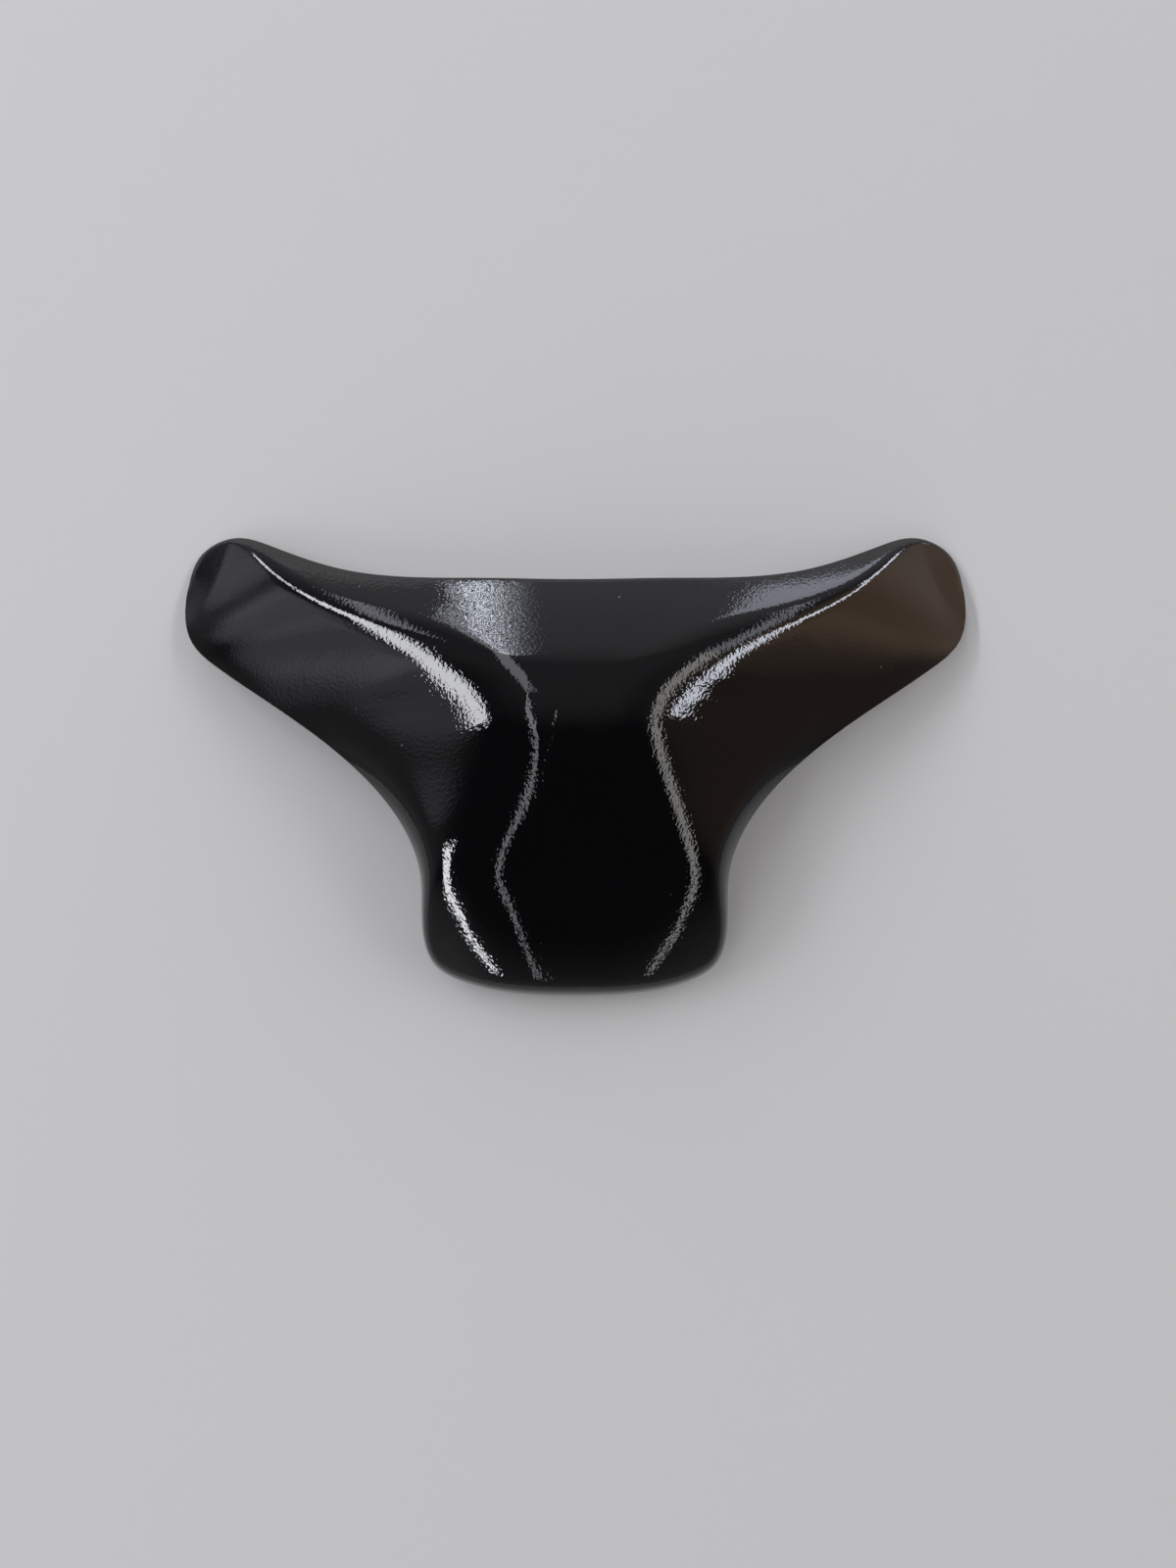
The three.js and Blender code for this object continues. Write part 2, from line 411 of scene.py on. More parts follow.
RIBS = (
    Rib(0, 0, 0.5, 0.1, 12.8, 1, 0.145, 2.9),
    Rib(0.02, 0.12, 0.5, 0.1, 13.2, 1, 0.107, 3.4),
    Rib(0.042, 0.21, 0.5, 0.1, 10.9, 1.3, 0.152, 1.2),
    Rib(0.066, 0.31, 0.5, 0.14, 14.4, 2.35, 0.115, 3.9),
    Rib(0.13, 0.42, 0.45, 0.2, 9, 2.65, 0.186, 4.9),
    Rib(0.26, 0.55, 0.38, 0.24, 2.3, 4.4, 0.274, 7.2),
    Rib(0.45, 0.7, 0.3, 0.25, 0, 8.7, 0.234, 4.7),
    Rib(0.65, 0.84, 0.3, 0.25, 1.6, 8, 0.094, 2.4),
    Rib(0.84, 0.94, 0.3, 0.25, 0.6, 8, 0, 1),
    Rib(1, 1, 0.3, 0.25, 0.6, 8, 0, 1),
)


class RibTable:
    """The ribs' sizes as smooth functions of the way from the middle, 0, to a wing tip, 1."""

    ODD = ("start", "land")  # the sizes that change their sign across the middle line

    def __init__(self, ribs: tuple[Rib, ...]) -> None:
        """Runs a spline through each size over both sides, so that it meets the middle line evenly.

        Args:
            ribs: the ribs of the right side, evenly spread from the middle to the tip.
        """
        stations = np.linspace(0, 1, len(ribs))
        both = np.concatenate([-stations[:0:-1], stations])
        self.curves = {}
        for size in fields(Rib):
            values = np.array([getattr(rib, size.name) for rib in ribs], float)
            sign = -1 if size.name in self.ODD else 1
            self.curves[size.name] = NaturalSpline(both, np.concatenate([sign * values[:0:-1], values]))

    def at(self, name: str, t: np.ndarray) -> np.ndarray:
        """The values of one size at the ways t."""
        return self.curves[name](t)


@dataclass
class OuterSkin:
    """The outer face of the shell: ribs that run square off the brow's edge and land square below.

    A rib is a cubic curve in plan. Its height is the lowest of three faces, blended: the brow, which
    rises evenly from its edge; the panel; and the flank, which has a wall at its foot that fades as an
    exponential, and an even rise above that.
    """

    edge: TrimmedEdge
    tank: Tank
    panel: Panel
    wall: float
    inset: float
    brow_slope: float = 0.556
    crest_soft: float = 11.4
    crest_least: float = 0.12  # the least share of a rib that lies before its crest
    ribs_a_side: int = 190
    steps_brow: int = 26
    steps_flank: int = 74
    samples: int = 241  # the points by which a rib's length is measured
    halvings: int = 24  # the steps of the search for the crest
    foot_power: float = 1.5  # above 1, the flank's steps close up towards the lower edge
    table: RibTable = field(default_factory=lambda: RibTable(RIBS))

    def _curves(self, t: np.ndarray) -> tuple[np.ndarray, np.ndarray, np.ndarray, np.ndarray]:
        """The ribs in plan, sampled: cubic curves with two ends and two points that lead them.

        Args:
            t: the ways of the ribs.

        Returns:
            Points for each rib and sample, the lengths up to them, and the start points with their
            inward directions.
        """
        curve = EdgeCurve(self.edge, self.inset)
        start, start_in = curve.at(EdgeStart.BROW, self.table.at("start", t))
        land, land_in = curve.at(EdgeStart.NOSE, self.table.at("land", t))
        chord = np.linalg.norm(start - land, axis=1, keepdims=True)
        lead = start + start_in * chord * self.table.at("lead", t)[:, None]
        trail = land + land_in * chord * self.table.at("trail", t)[:, None]
        u = np.linspace(0, 1, self.samples)[None, :, None]
        points = (
            (1 - u) ** 3 * start[:, None]
            + 3 * (1 - u) ** 2 * u * lead[:, None]
            + 3 * (1 - u) * u**2 * trail[:, None]
            + u**3 * land[:, None]
        )
        steps = np.linalg.norm(np.diff(points, axis=1), axis=2)
        lengths = np.concatenate([np.zeros((len(t), 1)), np.cumsum(steps, axis=1)], axis=1)
        return points, lengths, start, start_in

    def right_side(self) -> np.ndarray:
        """The ribs of the right side, from the middle to the tip.

        A rib's crest lies where the brow's face stops being the lowest, which is found by halving. The
        steps are even before it. After it, the share of the way that is left is raised to a power.

        Returns:
            An array of ribs by steps by x, y and z, in millimetres.
        """
        t = np.linspace(0, 1, self.ribs_a_side + 1)
        points, lengths, start, start_in = self._curves(t)
        length = lengths[:, -1:]
        wall_height = np.maximum(self.table.at("wall_height", t), 0)[:, None]
        wall_run = self.table.at("wall_run", t)[:, None]
        flank_rise = np.maximum(self.table.at("flank_rise", t), 0)[:, None]
        soft = self.table.at("soft", t)[:, None]

        def faces(along: np.ndarray) -> tuple[np.ndarray, ...]:
            """Plan points and the three faces' heights.

            Args:
                along: distances along the ribs, one row for each rib.

            Returns:
                The points' x and y, and the heights of the brow, the panel and the flank.
            """
            x = interpolate_rows(along, lengths, points[:, :, 0])
            y = interpolate_rows(along, lengths, points[:, :, 1])
            ground = self.tank.height(x, y) + self.wall
            off_edge = (x - start[:, :1]) * start_in[:, :1] + (y - start[:, 1:]) * start_in[:, 1:]
            left = length - along + self.inset
            brow = ground + self.brow_slope * (off_edge + self.inset)
            panel = self.panel.height(x, y) + self.wall
            flank = ground + wall_height * (1 - np.exp(-left / wall_run)) + flank_rise * left
            return x, y, brow, panel, flank

        near = np.zeros_like(length)
        far = length.copy()
        for _ in range(self.halvings):
            middle = (near + far) / 2
            _, _, brow, panel, flank = faces(middle)
            short = brow < np.minimum(panel, flank)
            near = np.where(short, middle, near)
            far = np.where(short, far, middle)
        crest = np.maximum(near, length * self.crest_least)
        before = crest * np.linspace(0, 1, self.steps_brow + 1)
        share = np.linspace(0, 1, self.steps_flank + 1)[1:]
        after = length - (length - crest) * (1 - share) ** self.foot_power
        x, y, brow, panel, flank = faces(np.concatenate([before, after], axis=1))
        z = soft_min(soft_min(brow, panel, self.crest_soft), flank, soft)
        return np.stack([x, y, z], -1)

    def both_sides(self) -> np.ndarray:
        """The ribs from the left wing tip to the right one."""
        right = self.right_side()
        return np.concatenate([right[:0:-1] * [-1, 1, 1], right])


def skin_normals(skin: np.ndarray) -> np.ndarray:
    """The outward normals of a skin: the cross product of its directions along and across the ribs.

    A wing tip is one point, so it takes the mean of the rib beside it.

    Args:
        skin: ribs by steps by x, y and z.

    Returns:
        The normals, in the same shape.
    """
    normals = unit(np.cross(np.gradient(skin, axis=1), np.gradient(skin, axis=0)))
    for tip, beside in ((0, 1), (-1, -2)):
        normals[tip] = unit(normals[beside].mean(axis=0, keepdims=True))
    return normals


@dataclass(frozen=True)
class FormedAbs:
    """ABS sheet, coloured black through, thermoformed over a male mould.

    The sheet keeps the fine stipple of its roller and, along its pull, faint streaks. Its gloss is high,
    so the edge of a reflection breaks into grains. The real stipple is about 0.45 mm apart, too fine for
    the picture, so it is drawn about two and a half times as coarse.
    """

    colour: str = "#050506"
    thin_colour: str = "#08080a"
    dust_colour: str = "#6a6a6e"
    ior: float = 1.54
    roughness: float = 0.035
    roughness_spread: float = 0.01
    grain_mm: float = 1.15
    grain_height_mm: float = 0.027
    streak_mm: tuple[float, float] = (40.0, 1.8)
    streak_height_mm: float = 0.006
    patch_mm: float = 45.0
    patch_layers: float = 3.0
    patch_range: tuple[float, float] = (0.3, 0.7)
    layer_strength: float = 0.55
    dust_pitch_mm: float = 15.0
    dust_radius_mm: float = 0.42
    dust_share: float = 0.3

    def _cloudy(
        self,
        tree: bpy.types.NodeTree,
        place: bpy.types.NodeSocket,
        pitch: tuple[float, ...],
        layers: float = 1.0,
    ) -> bpy.types.NodeSocket:
        """Adds a cloudy pattern of a real size.

        Args:
            tree: the material's nodes.
            place: the object coordinates, in metres.
            pitch: the size of the pattern along x, y and z, in millimetres.
            layers: how many finer layers it has.

        Returns:
            The pattern, from 0 to 1.
        """
        scale = tuple(1 / (size * MM) for size in pitch)
        spread = add_node(tree, "ShaderNodeMapping", {"Vector": place, "Scale": scale})
        noise = add_node(
            tree,
            "ShaderNodeTexNoise",
            {
                "Vector": spread.outputs["Vector"],
                "Scale": 1.0,
                "Detail": layers,
                "Roughness": self.layer_strength,
            },
        )
        return noise.outputs["Fac"]

    def _dust(self, tree: bpy.types.NodeTree, place: bpy.types.NodeSocket) -> bpy.types.NodeSocket:
        """Adds a few specks of dust: discs round scattered points, in the share of cells that has one.

        Args:
            tree: the material's nodes.
            place: the object coordinates, in metres.

        Returns:
            1 on a speck and 0 elsewhere.
        """
        cells = add_node(
            tree,
            "ShaderNodeTexVoronoi",
            {"Vector": place, "Scale": 1 / (self.dust_pitch_mm * MM), "Randomness": 1.0},
        )
        near = add_node(
            tree,
            "ShaderNodeMath",
            {0: cells.outputs["Distance"], 1: self.dust_radius_mm / self.dust_pitch_mm},
            operation="LESS_THAN",
        )
        lot = add_node(tree, "ShaderNodeSeparateColor", {"Color": cells.outputs["Color"]})
        chosen = add_node(
            tree, "ShaderNodeMath", {0: lot.outputs["Red"], 1: self.dust_share}, operation="LESS_THAN"
        )
        both = add_node(
            tree,
            "ShaderNodeMath",
            {0: near.outputs["Value"], 1: chosen.outputs["Value"]},
            operation="MULTIPLY",
        )
        return both.outputs["Value"]

    def build(self) -> bpy.types.Material:
        """Makes the material: two reliefs, a faint change of gloss and tone, and a little dust.

        Returns:
            The material.
        """
        material = bpy.data.materials.new("abs_black_thermoformed")
        material.use_nodes = True
        tree = material.node_tree
        tree.nodes.clear()
        place = add_node(tree, "ShaderNodeTexCoord").outputs["Object"]
        along, across = self.streak_mm
        streaks = self._cloudy(tree, place, (along, across, along))
        streaked = add_node(
            tree,
            "ShaderNodeBump",
            {"Height": streaks, "Distance": self.streak_height_mm * MM, "Strength": 1.0},
        )
        grains = self._cloudy(tree, place, (self.grain_mm,) * 3)
        stippled = add_node(
            tree,
            "ShaderNodeBump",
            {
                "Height": grains,
                "Distance": self.grain_height_mm * MM,
                "Strength": 1.0,
                "Normal": streaked.outputs["Normal"],
            },
        )
        patches = self._cloudy(tree, place, (self.patch_mm,) * 3, self.patch_layers)
        gloss = add_node(
            tree,
            "ShaderNodeMapRange",
            {
                "Value": patches,
                "From Min": self.patch_range[0],
                "From Max": self.patch_range[1],
                "To Min": self.roughness - self.roughness_spread / 2,
                "To Max": self.roughness + self.roughness_spread / 2,
            },
        )
        clean = add_node(
            tree,
            "ShaderNodeMixRGB",
            {"Fac": patches, "Color1": linear(self.colour), "Color2": linear(self.thin_colour)},
        )
        dusty = add_node(
            tree,
            "ShaderNodeMixRGB",
            {
                "Fac": self._dust(tree, place),
                "Color1": clean.outputs["Color"],
                "Color2": linear(self.dust_colour),
            },
        )
        shader = add_node(
            tree,
            "ShaderNodeBsdfPrincipled",
            {
                "Base Color": dusty.outputs["Color"],
                "Roughness": gloss.outputs["Result"],
                "IOR": self.ior,
                "Normal": stippled.outputs["Normal"],
            },
        )
        add_node(tree, "ShaderNodeOutputMaterial", {"Surface": shader.outputs["BSDF"]})
        return material


@dataclass
class FormedShell:
    """The shell: an outer skin, the same skin moved in by the sheet's thickness, and the cut edge."""

    wall: float = 2.5
    edge_radius: float = 0.35
    edge_steps: int = 4
    merge_m: float = 1e-7
    name: str = "formed_shell"
    finish: FormedAbs = field(default_factory=FormedAbs)
    edge: TrimmedEdge = field(default_factory=TrimmedEdge)

    def __post_init__(self) -> None:
        """Works out both skins in the mould's frame."""
        tank = Tank(self.edge)
        skin = OuterSkin(self.edge, tank, Panel(tank), self.wall, self.edge_radius)
        self.outer = skin.both_sides()
        self.normals = skin_normals(self.outer)
        self.inner = self.outer - self.normals * self.wall

    def _rim(self) -> tuple[np.ndarray, np.ndarray]:
        """The cut edge: a profile carried round the skins' border.

        The profile goes from the outer skin through a quarter circle, across the sheet, and through a
        second quarter circle to the inner skin. Its own axes at each point of the border are the skin's
        normal and the direction square to both the normal and the border.

        Returns:
            The rim's points, as profile steps by border points, and the flat numbers of the border's
            points in the skins' grid.
        """
        ribs, steps = self.outer.shape[:2]
        top = np.arange(ribs) * steps
        foot = np.arange(ribs - 2, 0, -1) * steps + steps - 1
        border = np.concatenate([top, foot])
        points = self.outer.reshape(-1, 3)[border]
        normals = self.normals.reshape(-1, 3)[border]
        along = np.roll(points, -1, axis=0) - np.roll(points, 1, axis=0)
        out = unit(np.cross(normals, along))
        away = points - points.mean(axis=0)
        out *= np.sign((out * away).sum(-1).mean())
        turn = np.linspace(0, math.pi / 2, self.edge_steps + 1)
        radius = self.edge_radius
        across = np.concatenate([radius * np.sin(turn), radius * np.cos(turn)])
        down = np.concatenate([radius * (1 - np.cos(turn)), self.wall - radius * (1 - np.sin(turn))])
        rim = points + across[:, None, None] * out - down[:, None, None] * normals
        return rim[1:-1], border

    def mesh_arrays(self) -> tuple[np.ndarray, np.ndarray]:
        """The closed shell: the cells of both skins, and bands that join the rim's layers to them.

        Returns:
            The points, in millimetres in the mould's frame, and the faces as rows of four numbers.
        """
        ribs, steps = self.outer.shape[:2]
        count = ribs * steps
        number = np.arange(count).reshape(ribs, steps)
        sides = [number[:-1, :-1], number[:-1, 1:], number[1:, 1:], number[1:, :-1]]
        cell = np.stack(sides, -1).reshape(-1, 4)
        rim, border = self._rim()
        layers = [border]
        for step in range(len(rim)):
            layers.append(2 * count + step * len(border) + np.arange(len(border)))
        layers.append(border + count)
        layers = np.array(layers)
        ahead = np.roll(layers, -1, axis=1)
        band = np.stack([layers[:-1], ahead[:-1], ahead[1:], layers[1:]], -1).reshape(-1, 4)
        points = np.concatenate([self.outer.reshape(-1, 3), self.inner.reshape(-1, 3), rim.reshape(-1, 3)])
        return points, np.concatenate([cell, cell[:, ::-1] + count, band])

    def move_to_frame(self) -> np.ndarray:
        """The move from the mould's frame to the part's, in millimetres.

        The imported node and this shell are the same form, so the middle of one box goes to the middle of
        the other, and the lowest point to the lowest.

        Returns:
            The move as x, y and z.
        """
        low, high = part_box(SHELL_NODE)
        points, _ = self.mesh_arrays()
        middle = (np.array(low) + np.array(high)) / 2 / MM
        own = (points.min(axis=0) + points.max(axis=0)) / 2
        return np.array([middle[0] - own[0], middle[1] - own[1], low[2] / MM - points[:, 2].min()])

    def build(self) -> bpy.types.Object:
        """Makes the shell's mesh, dressed, in place and bound to the frame.

        Returns:
            The shell's object.
        """
        points, faces = self.mesh_arrays()
        points = (points + self.move_to_frame()) * MM
        mesh = bpy.data.meshes.new(self.name)
        mesh.from_pydata(points.tolist(), [], faces.tolist())
        cleaner = bmesh.new()
        cleaner.from_mesh(mesh)
        bmesh.ops.remove_doubles(cleaner, verts=cleaner.verts, dist=self.merge_m)
        bmesh.ops.recalc_face_normals(cleaner, faces=cleaner.faces)
        if cleaner.calc_volume(signed=True) < 0:
            bmesh.ops.reverse_faces(cleaner, faces=cleaner.faces)
        open_edges = sum(not edge.is_manifold for edge in cleaner.edges)
        cleaner.to_mesh(mesh)
        cleaner.free()
        mesh.polygons.foreach_set("use_smooth", [True] * len(mesh.polygons))
        mesh.materials.append(self.finish.build())
        shell = bpy.data.objects.new(self.name, mesh)
        bpy.context.scene.collection.objects.link(shell)
        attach(shell, "root")
        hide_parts(SHELL_NODE)
        log.info("%s: %d faces, %d open edges", self.name, len(mesh.polygons), open_edges)
        return shell


@dataclass(frozen=True)
class PhotoCamera:
    """The camera, at the photograph's place and angle, in millimetres in the mould's frame."""

    focal_px: float = 1202.0
    image_height_px: float = 1600.0
    sensor_mm: float = 36.0
    place: tuple[float, float, float] = (4.6, 12.6, 426.0)
    down_deg: float = 81.5
    sight_m: tuple[float, float] = (0.01, 200.0)

    def build(self, move: np.ndarray) -> bpy.types.Object:
        """Makes the camera.

        Args:
            move: the move from the mould's frame to the part's, in millimetres.

        Returns:
            The camera object.
        """
        data = bpy.data.cameras.new("photo_camera")
        data.sensor_width = self.sensor_mm
        data.lens = self.sensor_mm * self.focal_px / self.image_height_px
        data.clip_start, data.clip_end = self.sight_m
        camera = bpy.data.objects.new("photo_camera", data)
        camera.location = (np.array(self.place) + move) * MM
        camera.rotation_euler = (math.radians(90 - self.down_deg), 0, 0)
        bpy.context.scene.collection.objects.link(camera)
        bpy.context.scene.camera = camera
        return camera


@dataclass(frozen=True)
class Lamp:
    """A flat lamp of even radiance, which the camera doesn't see."""

    name: str
    radiance: float
    colour: str

    def place(
        self, at: Vector, aim: Vector, width: float, length: float, roll: float = 0.0
    ) -> bpy.types.Object:
        """Makes the lamp with the power that gives the radiance: radiance times area times pi.

        Args:
            at: the lamp's middle, in metres.
            aim: the direction that it faces.
            width: its size along its own x, in metres.
            length: its size along its own y, in metres.
            roll: a turn about its own z, in radians.

        Returns:
            The lamp object.
        """
        data = bpy.data.lights.new(self.name, "AREA")
        data.shape = "RECTANGLE"
        data.size = width
        data.size_y = length
        data.energy = self.radiance * width * length * math.pi
        data.color = linear(self.colour)[:3]
        lamp = bpy.data.objects.new(self.name, data)
        lamp.location = at
        turn = aim.to_track_quat("-Z", "Y").to_matrix() @ Matrix.Rotation(roll, 3, "Z")
        lamp.rotation_euler = turn.to_euler()
        lamp.visible_camera = False
        bpy.context.scene.collection.objects.link(lamp)
        return lamp


@dataclass(frozen=True)
class CeilingStrip(Lamp):
    """A level strip under the ceiling, from one end to the other.

    An end is how far it lies to the right and ahead of the shell for each metre up.
    """

    near: tuple[float, float]
    far: tuple[float, float]
    width: float
    ceiling: float = 2.5

    def build(self) -> bpy.types.Object:
        """Hangs the strip between its two ends, facing down.

        Returns:
            The lamp object.
        """
        run = (np.array(self.far) - np.array(self.near)) * self.ceiling
        middle = (np.array(self.far) + np.array(self.near)) / 2 * self.ceiling
        at = Vector((middle[0], middle[1], self.ceiling))
        roll = -math.atan2(run[0], run[1])
        length = float(np.hypot(*run))
        return self.place(at, Vector((0, 0, -1)), self.width * self.ceiling, length, roll)


@dataclass(frozen=True)
class StandingCard(Lamp):
    """An upright card that faces the shell, between two bearings and two heights, in degrees.

    Bearings are counted from +Y to the right, and heights from the floor, as seen from the shell.
    """

    bearings: tuple[float, float]
    heights: tuple[float, float]
    distance: float = 2.5

    def build(self) -> bpy.types.Object:
        """Stands the card at its distance, square to the bearing of its middle.

        Returns:
            The lamp object.
        """
        bearing = math.radians(sum(self.bearings) / 2)
        half = math.radians(self.bearings[1] - self.bearings[0]) / 2
        low, high = (self.distance * math.tan(math.radians(h)) for h in self.heights)
        out = Vector((math.sin(bearing), math.cos(bearing), 0))
        at = out * self.distance + Vector((0, 0, (low + high) / 2))
        return self.place(at, -out, 2 * self.distance * math.tan(half), high - low)


@dataclass(frozen=True)
class WindowBlind:
    """A window behind a blind: upright slats of light, given as bearing, radiance and lower end.

    Angles are counted as a card's are. On the stippled sheet the narrow slats blend into one speckled
    patch that fades to both sides.
    """

    name: str = "front_slat"
    colour: str = "#e6ebf8"
    half: float = 0.25
    top: float = 28.0
    slats: tuple[tuple[float, float, float], ...] = (
        (-15.2, 4.0, 9.0),
        (-13.9, 5.0, 6.0),
        (-12.6, 6.0, 0.5),
        (-11.3, 15.0, 0.5),
        (-10.0, 17.0, 0.5),
        (-8.7, 14.0, 0.5),
        (-7.4, 8.5, 0.5),
        (-6.1, 4.0, 0.5),
        (-4.8, 1.2, 0.5),
    )

    def cards(self) -> tuple[StandingCard, ...]:
        """The slats as standing cards, numbered from the left.

        Returns:
            One card for each slat.
        """
        cards = []
        for number, (bearing, radiance, low) in enumerate(self.slats):
            bearings = (bearing - self.half, bearing + self.half)
            name = f"{self.name}_{number}"
            cards.append(StandingCard(name, radiance, self.colour, bearings, (low, self.top)))
        return tuple(cards)


# Tubes and slits are mirrored as lines along the crests and down the stem, windows as patches on the brow.
LAMPS = (
    CeilingStrip("left_tube", 12.0, "#f7f8fd", (-1.12, -0.26), (-1.12, 1.0), 0.18),
    CeilingStrip("left_tube_end", 12.0, "#f7f8fd", (-1.13, 1.0), (-1.75, 1.85), 0.19),
    CeilingStrip("left_tube_back", 16.0, "#f7f8fd", (-1.13, -3.8), (-1.13, -0.55), 0.13),
    CeilingStrip("left_slit", 2.4, "#eceefa", (-1.02, 1.45), (-2.0, 5.3), 0.16),
    CeilingStrip("overhead_slit_back", 2.8, "#f2f4fa", (-0.25, -3.8), (-0.25, -0.66), 0.05),
    CeilingStrip("overhead_slit_bend", 2.8, "#f2f4fa", (-0.25, -0.66), (-0.335, -0.45), 0.05),
    CeilingStrip("overhead_slit", 3.6, "#f2f4fa", (-0.335, -0.45), (-0.335, 0.2), 0.045),
    CeilingStrip("overhead_slit_front", 2.2, "#f2f4fa", (-0.34, 0.2), (-0.4, 2.2), 0.2),
    CeilingStrip("right_slit", 3.6, "#f6f3ee", (0.93, -3.8), (0.93, 0.6), 0.1),
    CeilingStrip("right_slit_front", 2.2, "#eceefa", (0.93, 0.6), (1.3, 2.6), 0.11),
    CeilingStrip("right_tube", 12.0, "#eef2ff", (1.13, -0.18), (1.15, 0.7), 0.1),
    CeilingStrip("right_tube_end", 12.0, "#eef2ff", (1.15, 0.7), (2.2, 2.2), 0.11),
    StandingCard("side_window", 2.4, "#e8ecff", (15.2, 25.0), (0.5, 11.0)),
    StandingCard("left_far_window", 9.0, "#f7f8fd", (-45.0, -41.0), (5.0, 20.0)),
    StandingCard("right_far_window", 9.0, "#eef2ff", (41.0, 45.0), (5.0, 19.0)),
)


@dataclass(frozen=True)
class MattPaint:
    """Pale matt paint, rolled on board: the eye sees a soft shadow on it and no reflection."""

    colour: str = "#e4e4e2"
    roughness: float = 0.9
    shine: float = 0.2

    def build(self) -> bpy.types.Material:
        """Makes the material.

        Returns:
            The material.
        """
        material = bpy.data.materials.new("board_painted_pale")
        material.use_nodes = True
        shader = material.node_tree.nodes["Principled BSDF"]
        shader.inputs["Base Color"].default_value = linear(self.colour)
        shader.inputs["Roughness"].default_value = self.roughness
        shader.inputs["Specular IOR Level"].default_value = self.shine
        return material


@dataclass(frozen=True)
class StudioFloor:
    """A plain floor, far wider than the view and a hair under the shell, in metres."""

    half: float = 30.0
    gap: float = 0.0001
    finish: MattPaint = MattPaint()

    def build(self) -> bpy.types.Object:
        """Makes the floor's one face.

        Returns:
            The floor object.
        """
        side, level = self.half, -self.gap
        square = [(-side, -side, level), (side, -side, level), (side, side, level), (-side, side, level)]
        mesh = bpy.data.meshes.new("studio_floor")
        mesh.from_pydata(square, [], [(0, 1, 2, 3)])
        mesh.materials.append(self.finish.build())
        floor = bpy.data.objects.new("studio_floor", mesh)
        bpy.context.scene.collection.objects.link(floor)
        return floor


@dataclass(frozen=True)
class WallGlow:
    """A soft pool of light on a wall of the room, full in its core and gone at its rim.

    The bearing is counted from +Y to the right, the height from the floor, and core and rim from the
    pool's middle, all in degrees as seen from the shell.
    """

    colour: str
    radiance: float
    bearing: float
    height: float
    core: float
    rim: float

    def add_to(
        self,
        tree: bpy.types.NodeTree,
        direction: bpy.types.NodeSocket,
        light: bpy.types.NodeSocket,
    ) -> bpy.types.NodeSocket:
        """Adds the pool to the room's light.

        The pool's share runs smoothly from 0 to 1 as the cosine of the angle to its middle goes from
        that of the rim to that of the core.

        Args:
            tree: the world's nodes.
            direction: the direction that is looked in.
            light: the light so far.

        Returns:
            The light with the pool in it.
        """
        bearing, height = math.radians(self.bearing), math.radians(self.height)
        level = math.cos(height)
        middle = (level * math.sin(bearing), level * math.cos(bearing), math.sin(height))
        nearness = add_node(
            tree, "ShaderNodeVectorMath", {0: direction, 1: middle}, operation="DOT_PRODUCT"
        )
        share = add_node(
            tree,
            "ShaderNodeMapRange",
            {
                "Value": nearness.outputs["Value"],
                "From Min": math.cos(math.radians(self.rim)),
                "From Max": math.cos(math.radians(self.core)),
                "To Max": self.radiance,
            },
            interpolation_type="SMOOTHSTEP",
        )
        pool = add_node(
            tree,
            "ShaderNodeVectorMath",
            {0: linear(self.colour)[:3], "Scale": share.outputs["Result"]},
            operation="SCALE",
        )
        total = add_node(
            tree, "ShaderNodeVectorMath", {0: light, 1: pool.outputs["Vector"]}, operation="ADD"
        )
        return total.outputs["Vector"]


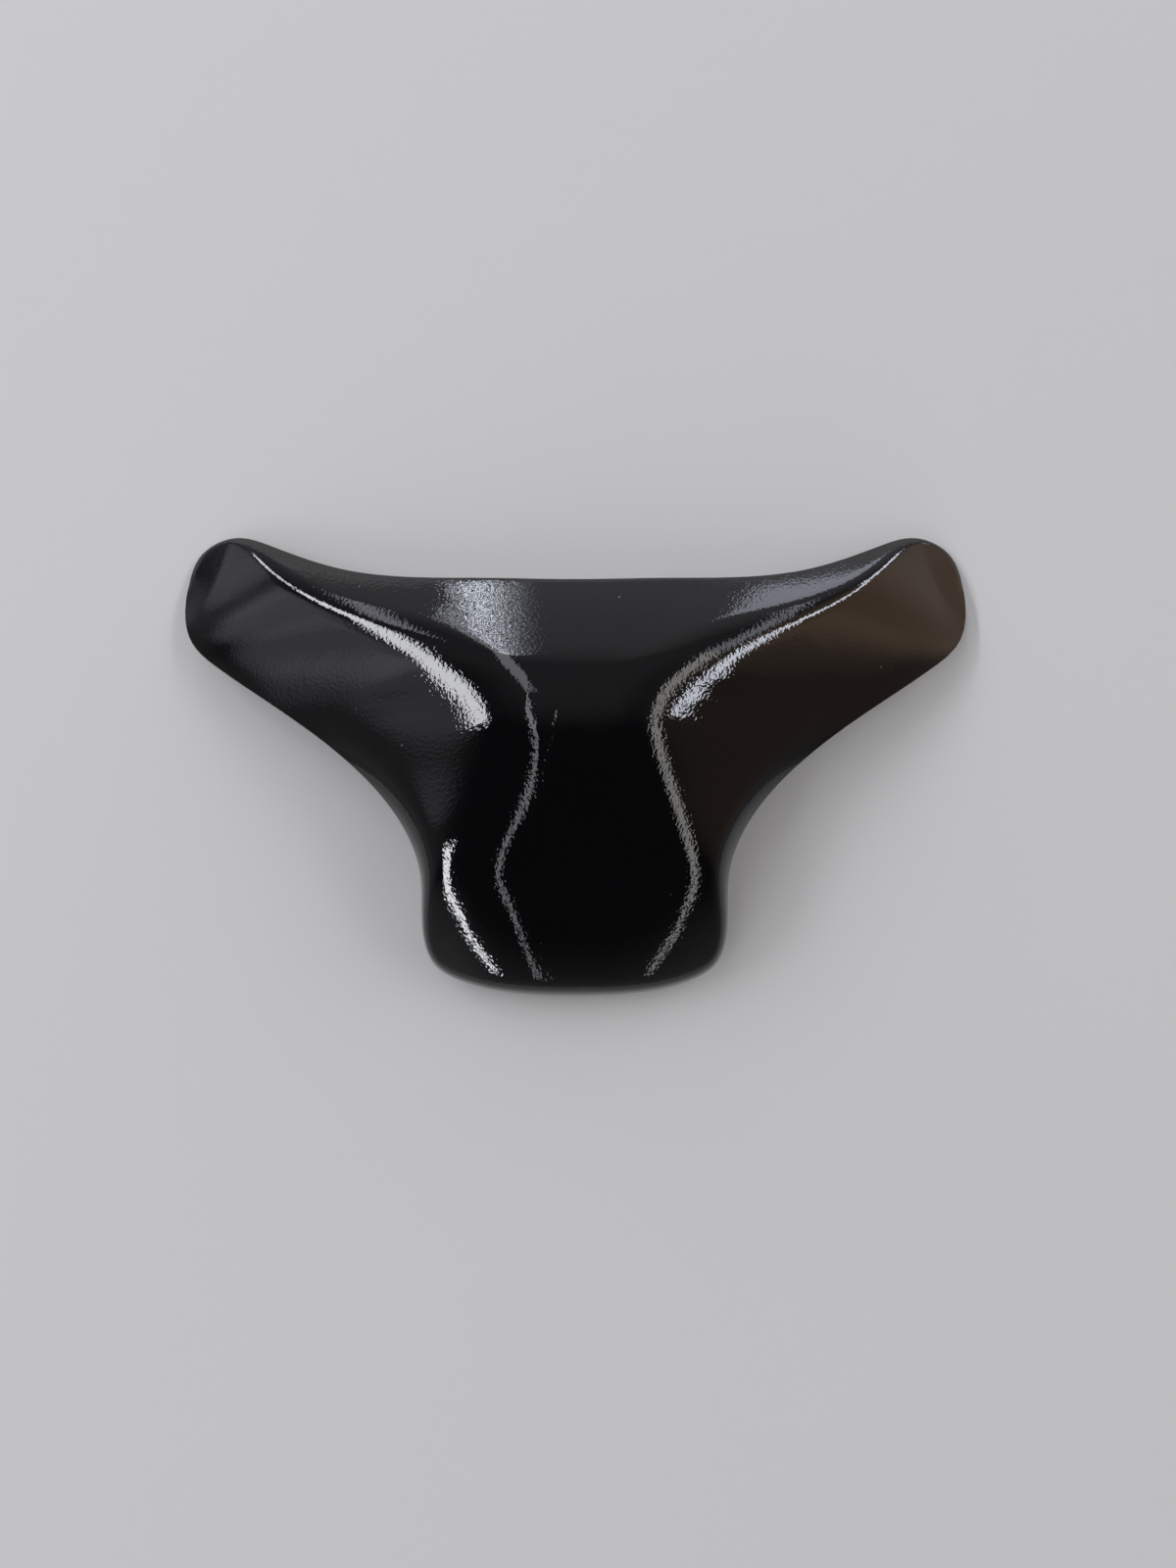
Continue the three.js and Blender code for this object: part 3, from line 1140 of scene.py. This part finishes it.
@dataclass(frozen=True)
class StudioRoom:
    """The room round the floor: grey at the horizon, and dark overhead, where the camera hangs.

    The cool pools are mirrored on the shell's left side and the warm ones on its right side, and the two
    widest, ahead, in the brow and the top of the hump. fade_end is the sine of the height at which the
    grey has given way to the dark.
    """

    horizon: str = "#8c8c90"
    overhead: str = "#2e2e31"
    fade_end: float = 0.5
    glows: tuple[WallGlow, ...] = (
        WallGlow("#e6e2f0", 0.5, -54.5, 6.5, 1.0, 8.0),
        WallGlow("#e9e5f1", 0.25, -62.0, 16.0, 2.0, 7.0),
        WallGlow("#ebe7f2", 0.85, -67.0, 25.0, 2.0, 13.0),
        WallGlow("#ebe7f2", 0.75, -83.0, 33.5, 3.0, 12.0),
        WallGlow("#ebe7f2", 0.5, -95.0, 36.0, 3.0, 10.0),
        WallGlow("#ecebf0", 0.16, -105.0, 23.0, 6.0, 20.0),
        WallGlow("#ececee", 0.14, -142.0, 12.0, 8.0, 22.0),
        WallGlow("#ffd2aa", 0.62, 63.0, 18.0, 13.0, 26.0),
        WallGlow("#ffd9bd", 0.2, 80.0, 36.0, 3.0, 13.0),
        WallGlow("#ffd9bd", 0.18, 92.0, 28.0, 8.0, 28.0),
        WallGlow("#eeeff4", 0.22, 8.0, 8.0, 14.0, 34.0),
        WallGlow("#ecebf2", 0.2, 0.0, 60.0, 20.0, 60.0),
    )

    def build(self) -> bpy.types.World:
        """Makes the world: its light goes from the horizon's to the ceiling's by the sine of height.

        Returns:
            The world.
        """
        world = bpy.data.worlds.new("studio_room")
        bpy.context.scene.world = world
        world.use_nodes = True
        tree = world.node_tree
        tree.nodes.clear()
        direction = add_node(tree, "ShaderNodeTexCoord").outputs["Generated"]
        height = add_node(tree, "ShaderNodeSeparateXYZ", {"Vector": direction}).outputs["Z"]
        fade = add_node(tree, "ShaderNodeValToRGB", {"Fac": height})
        fade.color_ramp.interpolation = "EASE"
        low, high = fade.color_ramp.elements
        low.position, low.color = 0.0, linear(self.horizon)
        high.position, high.color = self.fade_end, linear(self.overhead)
        light = fade.outputs["Color"]
        for glow in self.glows:
            light = glow.add_to(tree, direction, light)
        sky = add_node(tree, "ShaderNodeBackground", {"Color": light, "Strength": 1.0})
        add_node(tree, "ShaderNodeOutputWorld", {"Surface": sky.outputs["Background"]})
        return world


def main() -> None:
    logging.basicConfig(level=logging.INFO, format="%(message)s")
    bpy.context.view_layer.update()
    shell = FormedShell()
    made = [PhotoCamera().build(shell.move_to_frame()), shell.build()]
    made += [StudioFloor().build(), StudioRoom().build()]
    made += [lamp.build() for lamp in LAMPS + WindowBlind().cards()]
    for piece in made:
        log.info("built %s", piece.name)
    bpy.context.scene.view_settings.view_transform = "Standard"


if __name__ == "__main__":
    main()
